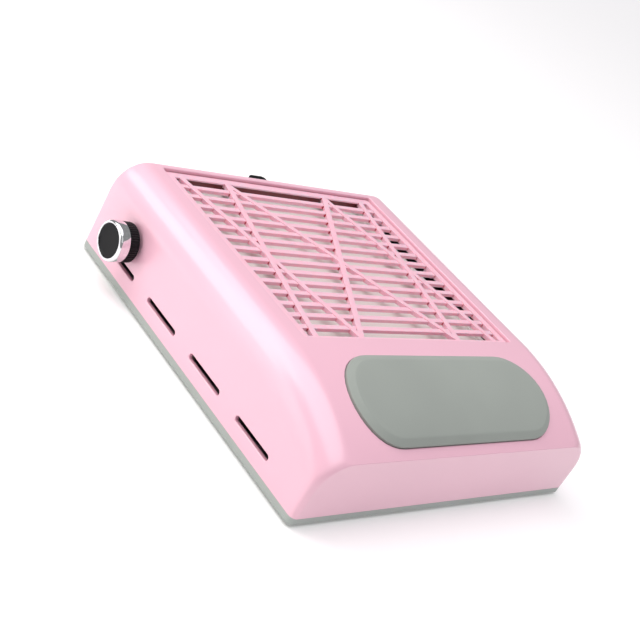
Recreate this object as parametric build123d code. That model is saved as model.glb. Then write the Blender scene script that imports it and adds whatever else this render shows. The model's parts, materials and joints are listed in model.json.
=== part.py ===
"""Nail dust collector: a desk-top suction box with a louvred top, a pull-out filter and a side speed knob.

Frame: millimetres, +Z up, +Y towards the back, origin on the table under the middle of the bounding box.
The pieces are laid out from the middle of the square body and moved into that frame when they are written.
"""
from build123d import *
import math
import os

# Outer body
body_width = 240.0
body_depth = 240.0
body_height = 63.0            # underside of the base tray to the flat top
plan_corner = 4.0
foot_stand = 1.5              # how far the feet hold the tray off the table
tray_band = 4.8               # grey band of the base tray that shows below the shell
wall = 2.5
long_edge_radius = 20.0       # rounding of the left and right top edges
slope_start = -45.0           # where the flat top starts to fall towards the front
slope_radius = 138.8

seam = foot_stand + tray_band
top = foot_stand + body_height
half_width = body_width / 2
front = -body_depth / 2
back = body_depth / 2
tray_floor = foot_stand + wall

# Louvred grille panel
grille_half_width = 92.0
grille_front = -45.0
grille_back = 115.0
grille_sunk = 2.0
grille_thickness = 3.0
grille_rear_rim = 1.0         # thickness of the rim behind the last row, hollowed from below
grille_rear_hollow = 3.9
grille_skirt_y = 111.6        # front of the skirt that hangs behind the last row
skirt_gap = 0.4               # between the skirt and the cartridge below it
grille_gap = 0.3
opening_half_width = 85.7
opening_front = -41.9
opening_back = 109.1
louvre_rows = 15
louvre_opening = 6.8
louvre_height = 2.3
cross_bar_width = 4.2
cross_bar_ends = ((-80.0, -43.5), (-43.5, -80.0), (-43.5, 43.5), (43.5, -43.5), (43.5, 80.0), (80.0, 43.5))
lattice_sunk = 0.2            # louvres and bars lie this far below the rim
grille_ledge = 2.0
ledge_sheet = 1.5
clip_ys = (-25.0, 35.0, 95.0)
clip_sheet = 1.6
clip_half_length = 4.0
clip_drop = 2.9
clip_catch = 1.1
grille_top = top - grille_sunk
grille_bottom = grille_top - grille_thickness

# Filter drawer
filter_width = 172.0
filter_length = 152.0
filter_height = 8.0
filter_bottom = 46.8
filter_centre_y = 33.6
filter_rim = 4.0
filter_grid = 1.0
media_sunk = 0.5
grid_half_width = 1.2
grid_xs = (-82.0, -41.0, 0.0, 41.0, 82.0)
grid_spacing_y = 36.0
filter_front = filter_centre_y - filter_length / 2
filter_back = filter_centre_y + filter_length / 2
slot_half_width = 88.2
slot_low = 45.6
slot_high = 56.2
slot_gap = 0.3
stem_x = 60.0
stem_half_width = 8.0
pull_width = 14.0
pull_reach = 13.9
pull_top = 58.6
pull_sheet = 2.8
pull_rise = 3.5               # how far out from the wall the tab has risen to its full height

# Inner tray that carries the filter and holds the fan inlet
inner_tray_bottom = 40.8
inner_tray_floor = 2.5
inner_tray_half_width = 102.0
inner_wall = 2.0
seat_top = 45.3
seat_half_width = 89.0
seat_front = -45.0
seat_back = 112.0
seat_width = 9.0
guide_height = 4.0
guide_gap = 0.4
seal_height = 1.2
seal_half_width = 85.5
seal_front = -42.0
seal_back = 109.0
seal_width = 4.5
seal_width_ends = 5.0
inner_tray_top = inner_tray_bottom + inner_tray_floor

# Fan and motor, on one vertical axis
fan_y = filter_centre_y
inlet_radius = 46.0
inlet_lip = 2.5
inlet_lip_drop = 2.8
impeller_radius = 58.0
impeller_bottom = 13.0
impeller_height = 24.3
impeller_sheet = 1.5
hub_radius = 25.0
hub_sunk = 2.7
hub_sheet = 1.6
hub_boss_radius = 6.5
blade_count = 20
blade_inner_radius = 29.0
blade_lead = 24.0             # degrees that a blade sweeps round from its inner to its outer edge
blade_sheet = 1.4
shaft_radius = 2.5
shaft_clearance = 0.05
motor_radius = 20.0
motor_bottom = 10.0
motor_height = 19.0
bearing_radius = 6.0
bearing_height = 3.5
cap_sheet = 1.5
grommet_height = 1.5
grommet_radius = 4.5
bracket_sheet = 1.5
bracket_half = 30.0
bracket_hole = 24.0

# Speed knob on the left wall
knob_y = 79.5
knob_z = 32.0
knob_radius = 12.25
knob_face = -136.2
knob_cap_radius = 10.3
knob_ring_depth = 7.2
skirt_rear = -122.3
pot_radius = 8.5
pot_depth = 9.5
bushing_radius = 3.5
pot_shaft_radius = 3.0
washer_sheet = 0.6
pot_nut_height = 2.2
knob_boss_radius = 6.0
knob_hollow_radius = 9.5
knob_hollow_depth = 3.7
shaft_sunk = 2.5              # shaft tip behind the knob's face

# Discharge slots low in both side walls
slot_ys = (80.0, 29.7, -20.4, -71.0)
slot_length = 32.5
slot_height = 3.75
slot_z = 16.8

# Palm pad on the front slope
pad_length = 172.0
pad_front = -114.3
pad_back = -60.3
pad_proud = 3.0
pad_seat = 1.2
pad_gap = 0.3
pad_bevel = 4.5
pad_bevel_drop = 1.8

# Power inlet in the rear wall
jack_x = 70.0
jack_z = 24.0
jack_radius = 5.4
jack_bore = 2.95
jack_bore_depth = 9.5
jack_flange = 1.4
jack_flange_radius = 7.0
jack_depth = 15.0
jack_pin_radius = 1.05

# Fastener positions
shell_screws = [(x, y) for x in (-108, 108) for y in (-106, 106)]
feet = [(x, y) for x in (-94, 94) for y in (-92, 92)]
tray_posts = [(x, y) for x in (-94, 94) for y in (-38, 104)]
board_x = 10.0
board_y = -83.0
board_length = 84.0
board_width = 44.0
board_bottom = 9.0
board_sheet = 1.6
connector_height = 7.0
connector_xs = (-26.0, -8.0, 26.0)
sink_height = 24.0
sink_fins = 6
sink_fin_spacing = 4.8
board_posts = [(board_x + x, board_y + y) for x in (-38, 38) for y in (-18, 18)]
grommet_bottom = motor_bottom - bracket_sheet - grommet_height
motor_posts = [(x, fan_y + y) for x in (-bracket_hole, bracket_hole) for y in (-bracket_hole, bracket_hole)]
guard_screw_radius = 50.2
guard_sheet = 1.5
guard_outer_radius = 47.6
guard_bar = 1.8

# Internal leads
lead_x = 100.0                # run of the long leads along both side walls
inlet_lead_radius = 1.7
inlet_lead_z = 6.2
pot_lead_radius = 1.4
pot_lead_z = 6.0
motor_lead_radius = 1.1
motor_lead_exit = 11.3
connector_y = -65.5
clip_saddle_ys = (10.0, -30.0)

# Bosses, posts and screws
boss_radius = 4.0
pilot_radius = 1.5
pilot_depth = 14.0
tray_boss_radius = 5.0
post_radius = 4.0
board_post_radius = 3.0
small_pilot_radius = 1.25
tray_pilot_depth = 12.0
screw_well_radius = 3.3
foot_radius = 8.0
foot_recess = 0.8
lip_height = 4.0
lip_sheet = 1.6
baffle_half_width = 112.0
baffle_y = -50.0
baffle_half_sheet = 1.0
lead_notch_xs = (-100.0, 0.0, 100.0)
lead_notch_half = 5.0
lead_notch_top = 12.0

STANDING = (Align.CENTER, Align.CENTER, Align.MIN)
HANGING = (Align.CENTER, Align.CENTER, Align.MAX)


def block(x0, x1, y0, y1, z0, z1):
    """Box between two corners."""
    box = Box(x1 - x0, y1 - y0, z1 - z0)
    return Pos((x0 + x1) / 2, (y0 + y1) / 2, (z0 + z1) / 2) * box


def rod(radius, start, end):
    """Round bar from one point to another."""
    along = Vector(*end) - Vector(*start)
    plane = Plane(origin=start, z_dir=along)
    return plane * Cylinder(radius, along.length, align=STANDING)


def tube(outer, inner, start, end):
    """Round bar with a bore right through it."""
    return rod(outer, start, end) - rod(inner, start, end)


def upright(radius, x, y, z0, z1):
    """Vertical round bar."""
    return rod(radius, (x, y, z0), (x, y, z1))


def hexagon(across_flats, bore, start, end):
    """Plain hexagonal nut."""
    along = Vector(*end) - Vector(*start)
    plane = Plane(origin=start, z_dir=along)
    outline = RegularPolygon(across_flats / math.sqrt(3), 6)
    return extrude(plane * outline, amount=along.length) - rod(bore, start, end)


def slab(length, width, corner, z0, z1):
    """Flat plate with rounded corners, centred on the origin."""
    return extrude(Plane.XY.offset(z0) * RectangleRounded(length, width, corner), amount=z1 - z0)


def screw(x, y, head_radius, head_height, shank_radius, seat, tip):
    """Pan-head screw standing on seat, its shank reaching to tip; it points up or down."""
    direction = 1 if seat > tip else -1
    head = upright(head_radius, x, y, min(seat, seat + direction * head_height),
                   max(seat, seat + direction * head_height))
    return head + upright(shank_radius, x, y, min(seat, tip), max(seat, tip))


def slope_fall(y):
    """How far the top surface has fallen below the flat top at y."""
    if y >= slope_start:
        return 0.0
    return slope_radius - math.sqrt(slope_radius ** 2 - (slope_start - y) ** 2)


def cross_section(y, half, radius, height):
    """Outline of the body across its width at y, open far below the seam."""
    z = height - slope_fall(y)
    low = z - 100
    with BuildSketch(Plane.XZ.offset(-y)) as sketch:
        with BuildLine():
            Line((-half + radius, z), (half - radius, z))
            RadiusArc((half - radius, z), (half, z - radius), radius)
            Polyline((half, z - radius), (half, low), (-half, low), (-half, z - radius))
            RadiusArc((-half, z - radius), (-half + radius, z), radius)
        make_face()
    return sketch.sketch.faces()[0]


def crowned_block(inset, bottom):
    """Solid body form, drawn in by inset on every side; its long top edges are rounded."""
    half = half_width - inset
    radius = long_edge_radius - inset
    height = top - inset
    steps = 8
    flat = extrude(cross_section(back, half, radius, height), amount=back - slope_start, dir=(0, -1, 0))
    stations = [slope_start + (front - slope_start) * i / steps for i in range(steps + 1)]
    slope = loft([cross_section(y, half, radius, height) for y in stations])
    return (flat + slope) & slab(2 * half, 2 * half, max(plan_corner - inset, 1.0), bottom, top + 1)


def slope_plane(y):
    """Plane tangent to the front slope at y, +Z pointing out of the body."""
    angle = math.asin((slope_start - y) / slope_radius)
    z = top - slope_fall(y)
    return Plane(origin=(0, y, z), x_dir=(1, 0, 0), z_dir=(0, -math.sin(angle), math.cos(angle)))


def pad_form(grow, below, above):
    """Stadium on the front slope, from below the surface to above it, following the slope's arc."""
    angles = [math.asin((slope_start - y) / slope_radius) for y in (pad_back, pad_front)]
    middle = slope_start - slope_radius * math.sin(sum(angles) / 2)
    height = 2 * slope_radius * math.sin((angles[1] - angles[0]) / 2) + 2 * grow
    outline = slope_plane(middle) * SlotOverall(pad_length + 2 * grow, height)
    prism = extrude(outline, amount=30, both=True)
    centre = (slope_start, top - slope_radius)
    length = pad_length + 20
    outer = rod(slope_radius + above, (-length / 2, *centre), (length / 2, *centre))
    inner = rod(slope_radius - below, (-length / 2, *centre), (length / 2, *centre))
    return prism & (outer - inner)


def side_slot_cutters():
    """Stadium cutters for the discharge slots in both side walls."""
    outline = SlotOverall(slot_length, slot_height)
    return [Plane(origin=(-half_width - 5, y, slot_z), x_dir=(0, 1, 0), z_dir=(1, 0, 0))
            * extrude(outline, amount=body_width + 10) for y in slot_ys]


def upper_shell():
    shell = crowned_block(0, seam) - crowned_block(wall, seam - 1)
    ledge_bottom = grille_bottom - ledge_sheet
    rim = grille_half_width + grille_gap
    rim_front = grille_front - grille_gap
    rim_back = grille_back + grille_gap
    well = block(-rim - wall, rim + wall, rim_front - wall, back - 1, ledge_bottom, top - wall + 0.3)
    bosses = [upright(boss_radius, x, y, seam + 0.7, top) for x, y in shell_screws]
    shell = shell + (Part() + [well] + bosses & crowned_block(0.5, seam))
    shell -= block(-rim, rim, rim_front, rim_back, grille_bottom, top + 1)
    shell -= block(-rim + grille_ledge, rim - grille_ledge, rim_front + grille_ledge, rim_back - grille_ledge,
                   ledge_bottom - 1, top + 1)
    shell -= [upright(pilot_radius, x, y, seam, seam + pilot_depth) for x, y in shell_screws]
    shell -= side_slot_cutters()
    shell -= block(-slot_half_width, slot_half_width, back - wall - 1, back + 1, slot_low, slot_high)
    shell -= rod(bushing_radius, (-half_width - 1, knob_y, knob_z), (-half_width + wall + 1, knob_y, knob_z))
    shell -= rod(jack_radius, (jack_x, back - wall - 1, jack_z), (jack_x, back + 1, jack_z))
    shell -= pad_form(pad_gap, pad_seat, 5)
    return shell


def base_tray():
    tray = slab(body_width, body_depth, plan_corner, foot_stand, seam)
    tray = fillet(tray.edges().group_by(Axis.Z)[0], 1.2)
    tray -= slab(body_width - 2 * wall, body_depth - 2 * wall, 1.5, tray_floor, seam + 1)
    lip_half = half_width - wall - 0.2
    lip = slab(2 * lip_half, 2 * lip_half, 1.5, tray_floor, seam + lip_height)
    lip_inner = lip_half - lip_sheet
    tray += lip - slab(2 * lip_inner, 2 * lip_inner, 1.0, tray_floor, seam + lip_height)
    tray += [upright(tray_boss_radius, x, y, tray_floor, seam + 0.5) for x, y in shell_screws]
    tray += [upright(post_radius, x, y, tray_floor, inner_tray_bottom) for x, y in tray_posts]
    tray += [upright(post_radius, x, y, tray_floor, grommet_bottom) for x, y in motor_posts]
    tray += [upright(board_post_radius, x, y, tray_floor, board_bottom) for x, y in board_posts]
    tray += lead_baffle()
    tray -= [upright(pilot_radius + 0.1, x, y, foot_stand - 1, seam + 1) for x, y in shell_screws]
    tray -= [upright(screw_well_radius, x, y, foot_stand - 1, tray_floor + 0.2) for x, y in shell_screws]
    tray -= [upright(foot_radius + 0.2, x, y, foot_stand - 1, foot_stand + foot_recess) for x, y in feet]
    tray -= [upright(small_pilot_radius, x, y, inner_tray_bottom - tray_pilot_depth, inner_tray_bottom + 1)
             for x, y in tray_posts]
    tray -= [upright(pilot_radius, x, y, tray_floor + 0.5, motor_bottom) for x, y in motor_posts]
    tray -= [upright(small_pilot_radius, x, y, tray_floor + 0.5, board_bottom + 1) for x, y in board_posts]
    return tray


def lead_baffle():
    """Wall between the fan room and the board room, notched at the bottom for the leads."""
    front_face = baffle_y - baffle_half_sheet
    back_face = baffle_y + baffle_half_sheet
    baffle = block(-baffle_half_width, baffle_half_width, front_face, back_face, tray_floor,
                   inner_tray_bottom - 0.2)
    return baffle - [block(x - lead_notch_half, x + lead_notch_half, front_face - 1, back_face + 1,
                           tray_floor, lead_notch_top) for x in lead_notch_xs]


def grille_clip(side, y):
    """Snap hook under the grille rim that catches the shell's ledge."""
    reach = grille_half_width + grille_gap - grille_ledge - 0.2
    inner = reach - clip_sheet
    low = grille_bottom - clip_drop
    arm = block(inner, reach, y - clip_half_length, y + clip_half_length, low, grille_bottom + 0.2)
    barb = block(inner, reach + clip_catch, y - clip_half_length, y + clip_half_length, low,
                 grille_bottom - 1.6)
    hook = arm + barb
    return hook if side > 0 else mirror(hook, about=Plane.YZ)


def grille_panel():
    middle = (opening_front + opening_back) / 2
    span = opening_back - opening_front
    centre = (grille_front + grille_back) / 2
    depth = grille_back - grille_front
    rim = Pos(0, centre, 0) * slab(2 * grille_half_width, depth, 1.5, grille_bottom, grille_top)
    rim = fillet(rim.edges().group_by(Axis.Z)[-1], 0.6)
    window = block(-opening_half_width, opening_half_width, opening_front, opening_back, 0, top + 5)
    rim -= window
    rim -= block(-opening_half_width, opening_half_width, opening_back - 1, opening_back + grille_rear_hollow,
                 grille_bottom - 1, grille_top - grille_rear_rim)
    pitch = (span - louvre_opening) / (louvre_rows - 1)
    louvres = []
    for row in range(1, louvre_rows):
        y = opening_back - row * pitch
        louvres.append(block(-opening_half_width - 1, opening_half_width + 1, y, y + pitch - louvre_opening,
                             grille_top - lattice_sunk - louvre_height, grille_top - lattice_sunk))
    bars = []
    for x_back, x_front in cross_bar_ends:
        length = math.hypot(x_front - x_back, span) + 20
        turn = math.degrees(math.atan2(x_back - x_front, span))
        bar = Box(cross_bar_width, length, grille_thickness - 0.3, align=HANGING)
        bars.append(Pos((x_back + x_front) / 2, middle, grille_top) * Rot(0, 0, -turn) * bar)
    skirt = block(-opening_half_width, opening_half_width, grille_skirt_y, opening_back + grille_rear_hollow,
                  filter_bottom + filter_height + skirt_gap, grille_top - grille_rear_rim + 0.2)
    inside = block(-opening_half_width - 0.5, opening_half_width + 0.5, opening_front - 0.5,
                   opening_back + 0.5, 0, top + 5)
    lattice = (Part() + louvres + bars) & inside
    clips = [grille_clip(side, y) for side in (-1, 1) for y in clip_ys]
    return rim + lattice + skirt + clips


def palm_pad():
    pad = pad_form(0, pad_seat, pad_proud)
    centre = Vector(0, slope_start, top - slope_radius)

    def radius_of(face):
        point = face.center()
        return math.hypot(point.Y - centre.Y, point.Z - centre.Z)

    crown = pad.faces().sort_by(radius_of)[-1]
    return chamfer(crown.edges(), pad_bevel, pad_bevel_drop, reference=crown)


def rubber_feet():
    return [fillet(upright(foot_radius, x, y, 0, foot_stand + foot_recess).edges().group_by(Axis.Z)[0], 0.5)
            for x, y in feet]


def base_screws():
    return [screw(x, y, 3.0, 2.0, 1.5, tray_floor + 0.2, seam + 13) for x, y in shell_screws]


def inner_tray():
    """Black tray below the grille: filter seat and guides, side walls and the round fan inlet."""
    tray = block(-inner_tray_half_width, inner_tray_half_width, -52, back - wall - 0.3,
                 inner_tray_bottom, inner_tray_top)
    for side in (-1, 1):
        outer = side * inner_tray_half_width
        inner = side * (inner_tray_half_width - inner_wall)
        tray += block(min(outer, inner), max(outer, inner), -50, back - wall - 0.3,
                      inner_tray_top - 0.1, top - wall - 0.3)
    tray += block(-inner_tray_half_width, inner_tray_half_width, -50, -48, inner_tray_top - 0.1,
                  top - wall - 0.6)
    open_half = seat_half_width - seat_width
    seat = block(-seat_half_width, seat_half_width, seat_front, seat_back, inner_tray_top - 0.1, seat_top)
    tray += seat - block(-open_half, open_half, seat_front + seat_width, seat_back - seat_width,
                         inner_tray_top - 1, seat_top + 1)
    guide_inner = filter_width / 2 + guide_gap
    for side in (-1, 1):
        near = side * guide_inner
        far = side * (guide_inner + inner_wall)
        tray += block(min(near, far), max(near, far), seat_front + inner_wall, seat_back,
                      seat_top - 0.1, seat_top + guide_height)
    tray += block(-guide_inner - inner_wall, guide_inner + inner_wall, seat_front, seat_front + inner_wall,
                  seat_top - 0.1, seat_top + guide_height + 2)
    tray += upright(inlet_radius + inlet_lip, 0, fan_y, inner_tray_bottom - inlet_lip_drop, inner_tray_bottom)
    tray -= upright(inlet_radius, 0, fan_y, inner_tray_bottom - 5, inner_tray_top + 1)
    tray -= [upright(1.6, x, y, inner_tray_bottom - 1, seat_top) for x, y in tray_posts]
    tray -= [upright(1.2, x, y, inner_tray_bottom - 1, inner_tray_top + 1) for x, y in guard_screw_points()]
    return tray


def guard_screw_points():
    """Four points just outside the fan guard's outer ring."""
    turns = [math.radians(a) for a in (45, 135, 225, 315)]
    return [(guard_screw_radius * math.cos(t), fan_y + guard_screw_radius * math.sin(t)) for t in turns]


def tray_screws():
    tip = inner_tray_top - tray_pilot_depth
    return [screw(x, y, 3.0, 1.8, small_pilot_radius, inner_tray_top, tip) for x, y in tray_posts]


def guard_screws():
    seat = inner_tray_top + guard_sheet
    return [screw(x, y, 3.2, 1.4, 1.2, seat, inner_tray_bottom - 1.5) for x, y in guard_screw_points()]


def fan_guard():
    """Stamped steel rings and spokes over the fan inlet."""
    half = guard_bar / 2
    outline = Circle(guard_outer_radius + half) - Circle(guard_outer_radius - half)
    for radius in (12, 24, 36):
        outline += Circle(radius + half) - Circle(radius - half)
    for angle in (0, 60, 120):
        outline += Rot(0, 0, angle) * Rectangle(2 * guard_outer_radius, guard_bar)
    return extrude(Pos(0, fan_y, inner_tray_top) * outline, amount=guard_sheet)


def filter_seal():
    """Foam strip frame on the filter seat."""
    inner = seal_half_width - seal_width
    outer = block(-seal_half_width, seal_half_width, seal_front, seal_back, seat_top, seat_top + seal_height)
    return outer - block(-inner, inner, seal_front + seal_width_ends, seal_back - seal_width_ends,
                         seat_top - 1, seat_top + seal_height + 1)


def filter_frame():
    """White cartridge frame with a retaining grid below the media."""
    half = filter_width / 2
    high = filter_bottom + filter_height
    frame = block(-half, half, filter_front, filter_back, filter_bottom, high)
    frame = fillet(frame.edges().filter_by(Axis.Z), 2.0)
    inner = half - filter_rim
    frame -= block(-inner, inner, filter_front + filter_rim, filter_back - filter_rim,
                   filter_bottom - 1, high + 1)
    for x in grid_xs:
        frame += block(x - grid_half_width, x + grid_half_width, filter_front + 1, filter_back - 1,
                       filter_bottom, filter_bottom + filter_grid)
    for step in (-1, 0, 1):
        y = filter_centre_y + step * grid_spacing_y
        frame += block(-half + 1, half - 1, y - grid_half_width, y + grid_half_width,
                       filter_bottom, filter_bottom + filter_grid)
    return frame


def filter_media():
    inner = filter_width / 2 - filter_rim
    return block(-inner, inner, filter_front + filter_rim, filter_back - filter_rim,
                 filter_bottom + filter_grid, filter_bottom + filter_height - media_sunk)


def filter_pull():
    """Black end piece: stems on the cartridge, plate closing the rear slot, and flat finger tab."""
    face_half = slot_half_width - slot_gap
    pull = block(-face_half, face_half, back - 2.3, back, slot_low + slot_gap, slot_high - slot_gap)
    for x in (-stem_x, stem_x):
        pull += block(x - stem_half_width, x + stem_half_width, filter_back, back - 2.2,
                      filter_bottom + 1.2, filter_bottom + 6.2)
    with BuildSketch(Plane.YZ) as side:
        with BuildLine():
            Polyline((back - 1, pull_top - pull_sheet - 1.2),
                     (back + pull_reach, pull_top - pull_sheet),
                     (back + pull_reach, pull_top),
                     (back + pull_rise, pull_top),
                     (back + 0.3, slot_high - slot_gap),
                     (back - 1, slot_high - slot_gap),
                     (back - 1, pull_top - pull_sheet - 1.2))
        make_face()
    tab = extrude(side.sketch, amount=pull_width / 2, both=True)
    tip = tab.edges().filter_by(Axis.Z).group_by(Axis.Y)[-1]
    return pull + chamfer(tip, 2.4, 1.4)


def motor_bracket():
    plate = slab(2 * bracket_half, 2 * bracket_half, 6, motor_bottom - bracket_sheet, motor_bottom)
    plate = Pos(0, fan_y, 0) * plate
    plate -= [upright(1.6, x, y, 0, motor_bottom + 1) for x, y in motor_posts]
    return plate - upright(7, 0, fan_y, 0, motor_bottom + 1)


def motor_grommets():
    high = grommet_bottom + grommet_height
    return [upright(grommet_radius, x, y, grommet_bottom, high)
            - upright(pilot_radius, x, y, grommet_bottom, high) for x, y in motor_posts]


def motor_screws():
    return [screw(x, y, 2.8, 1.8, pilot_radius, motor_bottom, tray_floor + 0.6) for x, y in motor_posts]


def motor_can():
    high = motor_bottom + motor_height
    can = upright(motor_radius, 0, fan_y, motor_bottom, high)
    can = fillet(can.edges().group_by(Axis.Z)[0], 1.5)
    return can - upright(shaft_radius + shaft_clearance, 0, fan_y, motor_bottom + 3, high + 1)


def motor_cap():
    base = motor_bottom + motor_height
    cap = upright(motor_radius, 0, fan_y, base, base + cap_sheet)
    cap += upright(bearing_radius, 0, fan_y, base, base + bearing_height)
    return cap - upright(shaft_radius + shaft_clearance, 0, fan_y, base - 1, base + bearing_height + 1)


def motor_shaft():
    return upright(shaft_radius, 0, fan_y, motor_bottom + 3.3, impeller_bottom + impeller_height + 3.5)


def impeller_blade():
    """Backward-curved blade standing on the impeller's back plate."""
    outer = impeller_radius - 1
    points = []
    for radius in (blade_inner_radius, (blade_inner_radius + outer) / 2, outer):
        share = (radius - blade_inner_radius) / (outer - blade_inner_radius)
        points.append((radius, blade_lead * share ** 1.6))
    faces = []
    for shift in (0, 1):
        faces.append([(r * math.cos(math.radians(a) + shift * blade_sheet / r),
                       r * math.sin(math.radians(a) + shift * blade_sheet / r)) for r, a in points])
    low, high = faces
    with BuildSketch() as sketch:
        with BuildLine():
            ThreePointArc(*low)
            Line(low[2], high[2])
            ThreePointArc(high[2], high[1], high[0])
            Line(high[0], low[0])
        make_face()
    return extrude(sketch.sketch, amount=impeller_height - 2 * impeller_sheet + 0.2)


def impeller():
    base = impeller_bottom
    peak = base + impeller_height
    hub_top = peak - hub_sunk
    wheel = upright(impeller_radius, 0, 0, base, base + impeller_sheet)
    wheel += upright(hub_radius, 0, 0, base, hub_top)
    wheel -= upright(hub_radius - hub_sheet, 0, 0, base - 1, hub_top - hub_sheet)
    wheel += upright(hub_boss_radius, 0, 0, hub_top - hub_sheet, peak)
    ring = upright(impeller_radius, 0, 0, peak - impeller_sheet, peak)
    wheel += ring - upright(inlet_radius, 0, 0, peak - 3, peak + 1)
    blade = Pos(0, 0, base + impeller_sheet - 0.1) * impeller_blade()
    wheel += [Rot(0, 0, 360 * i / blade_count) * blade for i in range(blade_count)]
    wheel -= upright(shaft_radius, 0, 0, base - 1, peak + 1)
    return Pos(0, fan_y, 0) * wheel


def impeller_nut():
    peak = impeller_bottom + impeller_height
    return hexagon(8.0, shaft_radius, (0, fan_y, peak), (0, fan_y, peak + 3))


def control_board():
    board = slab(board_length, board_width, 2, board_bottom, board_bottom + board_sheet)
    board = Pos(board_x, board_y, 0) * board
    return board - [upright(1.6, x, y, 0, board_bottom + 5) for x, y in board_posts]


def board_screws():
    seat = board_bottom + board_sheet
    return [screw(x, y, 2.6, 1.6, small_pilot_radius, seat, tray_floor + 0.6) for x, y in board_posts]


def board_capacitors():
    low = board_bottom + board_sheet
    cans = [upright(5, board_x - 20 + 12 * i, board_y - 8, low, low + 16) for i in range(2)]
    return [fillet(can.edges().group_by(Axis.Z)[-1], 0.8) for can in cans]


def board_coil():
    low = board_bottom + board_sheet
    return Pos(board_x + 4, board_y + 3, low + 3) * Torus(6, 3)


def board_connectors():
    low = board_bottom + board_sheet
    return [block(board_x + x - 5, board_x + x + 5, board_y + 14, board_y + 21, low, low + connector_height)
            for x in connector_xs]


def heat_sink():
    low = board_bottom + board_sheet
    x0 = board_x + 18
    y0 = board_y - 16
    sink = block(x0, x0 + 3, y0, y0 + 26, low, low + sink_height)
    for i in range(sink_fins):
        y = y0 + 1 + sink_fin_spacing * i
        sink += block(x0 + 2.9, x0 + 14, y, y + 1.4, low, low + sink_height)
    return sink


def power_transistor():
    """Flat power package standing against the heat sink, on three legs."""
    low = board_bottom + board_sheet
    x1 = board_x + 18
    y = board_y - 3
    body = block(x1 - 4.5, x1, y - 5, y + 5, low + 4, low + 19)
    legs = [block(x1 - 3, x1 - 2.2, y + dy - 0.4, y + dy + 0.4, low, low + 4.2) for dy in (-2.5, 0, 2.5)]
    return body + legs


def potentiometer_body():
    inner = -half_width + wall
    body = rod(pot_radius, (inner, knob_y, knob_z), (inner + pot_depth, knob_y, knob_z))
    body += rod(bushing_radius, (-half_width - 3.5, knob_y, knob_z), (inner + 1, knob_y, knob_z))
    bore = pot_shaft_radius + shaft_clearance
    return body - rod(bore, (-half_width - 5, knob_y, knob_z), (inner + 7, knob_y, knob_z))


def potentiometer_washer():
    face = -half_width - washer_sheet
    return tube(6.2, bushing_radius, (face, knob_y, knob_z), (-half_width, knob_y, knob_z))


def potentiometer_nut():
    seat = -half_width - washer_sheet
    return hexagon(10.0, bushing_radius, (seat, knob_y, knob_z), (seat - pot_nut_height, knob_y, knob_z))


def potentiometer_shaft():
    inner = -half_width + wall + 6.7
    return rod(pot_shaft_radius, (knob_face + shaft_sunk, knob_y, knob_z), (inner, knob_y, knob_z))


def knob_skirt():
    """Black knob body: hollow behind to clear the nut, with a boss that carries the ring and cap."""
    step = knob_face + knob_ring_depth
    hollow_end = skirt_rear - knob_hollow_depth
    skirt = rod(knob_radius - 0.25, (skirt_rear, knob_y, knob_z), (step, knob_y, knob_z))
    skirt = fillet(skirt.edges().filter_by(GeomType.CIRCLE).group_by(Axis.X)[-1], 0.8)
    skirt += rod(knob_boss_radius, (step + 0.1, knob_y, knob_z), (knob_face + 2.2, knob_y, knob_z))
    skirt -= rod(knob_hollow_radius, (skirt_rear + 1, knob_y, knob_z), (hollow_end, knob_y, knob_z))
    shaft_tip = knob_face + shaft_sunk
    return skirt - rod(pot_shaft_radius, (skirt_rear, knob_y, knob_z), (shaft_tip, knob_y, knob_z))


def knob_ring():
    step = knob_face + knob_ring_depth
    ring = tube(knob_radius, knob_cap_radius, (step, knob_y, knob_z), (knob_face, knob_y, knob_z))
    face_edges = ring.edges().filter_by(GeomType.CIRCLE).group_by(Axis.X)[0].sort_by(SortBy.RADIUS)
    ring = fillet(face_edges[-1], 1.3)
    face_edges = ring.edges().filter_by(GeomType.CIRCLE).group_by(Axis.X)[0].sort_by(SortBy.RADIUS)
    return fillet(face_edges[0], 0.4)


def knob_cap():
    step = knob_face + knob_ring_depth
    cap = rod(knob_cap_radius, (step, knob_y, knob_z), (knob_face + 0.4, knob_y, knob_z))
    return cap - rod(knob_boss_radius, (step + 1, knob_y, knob_z), (knob_face + 2.2, knob_y, knob_z))


def dc_jack_body():
    mouth = back + jack_flange
    body = rod(jack_flange_radius, (jack_x, back, jack_z), (jack_x, mouth, jack_z))
    body = fillet(body.edges().filter_by(GeomType.CIRCLE).group_by(Axis.Y)[-1], 0.5)
    body += rod(jack_radius, (jack_x, back - jack_depth, jack_z), (jack_x, back + 0.5, jack_z))
    return body - rod(jack_bore, (jack_x, mouth - jack_bore_depth, jack_z), (jack_x, mouth + 1, jack_z))


def dc_jack_pin():
    mouth = back + jack_flange
    pin = rod(jack_pin_radius, (jack_x, mouth - jack_bore_depth, jack_z), (jack_x, mouth - 1, jack_z))
    return fillet(pin.edges().filter_by(GeomType.CIRCLE).group_by(Axis.Y)[-1], 0.4)


def dc_jack_nut():
    return hexagon(14.0, jack_radius, (jack_x, back - wall, jack_z), (jack_x, back - wall - 3, jack_z))


def lead(radius, points, bends):
    """Insulated lead along straight runs joined by tangent arcs."""
    path = FilletPolyline(*points, radius=bends)
    section = Plane(origin=path @ 0, z_dir=path % 0) * Circle(radius)
    return sweep(section, path=path)


def inlet_lead():
    """From the power inlet down the right side and forward to the board's right connector."""
    pins = board_bottom + board_sheet + connector_height
    points = [(jack_x, back - jack_depth, jack_z), (jack_x, 90, jack_z), (jack_x + 14, 76, 8),
              (lead_x, 50, inlet_lead_z), (lead_x, -66, inlet_lead_z), (72, -78, 9),
              (36, connector_y, 30), (36, connector_y, pins)]
    return lead(inlet_lead_radius, points, [6, 12, 20, 14, 12, 4])


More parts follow.
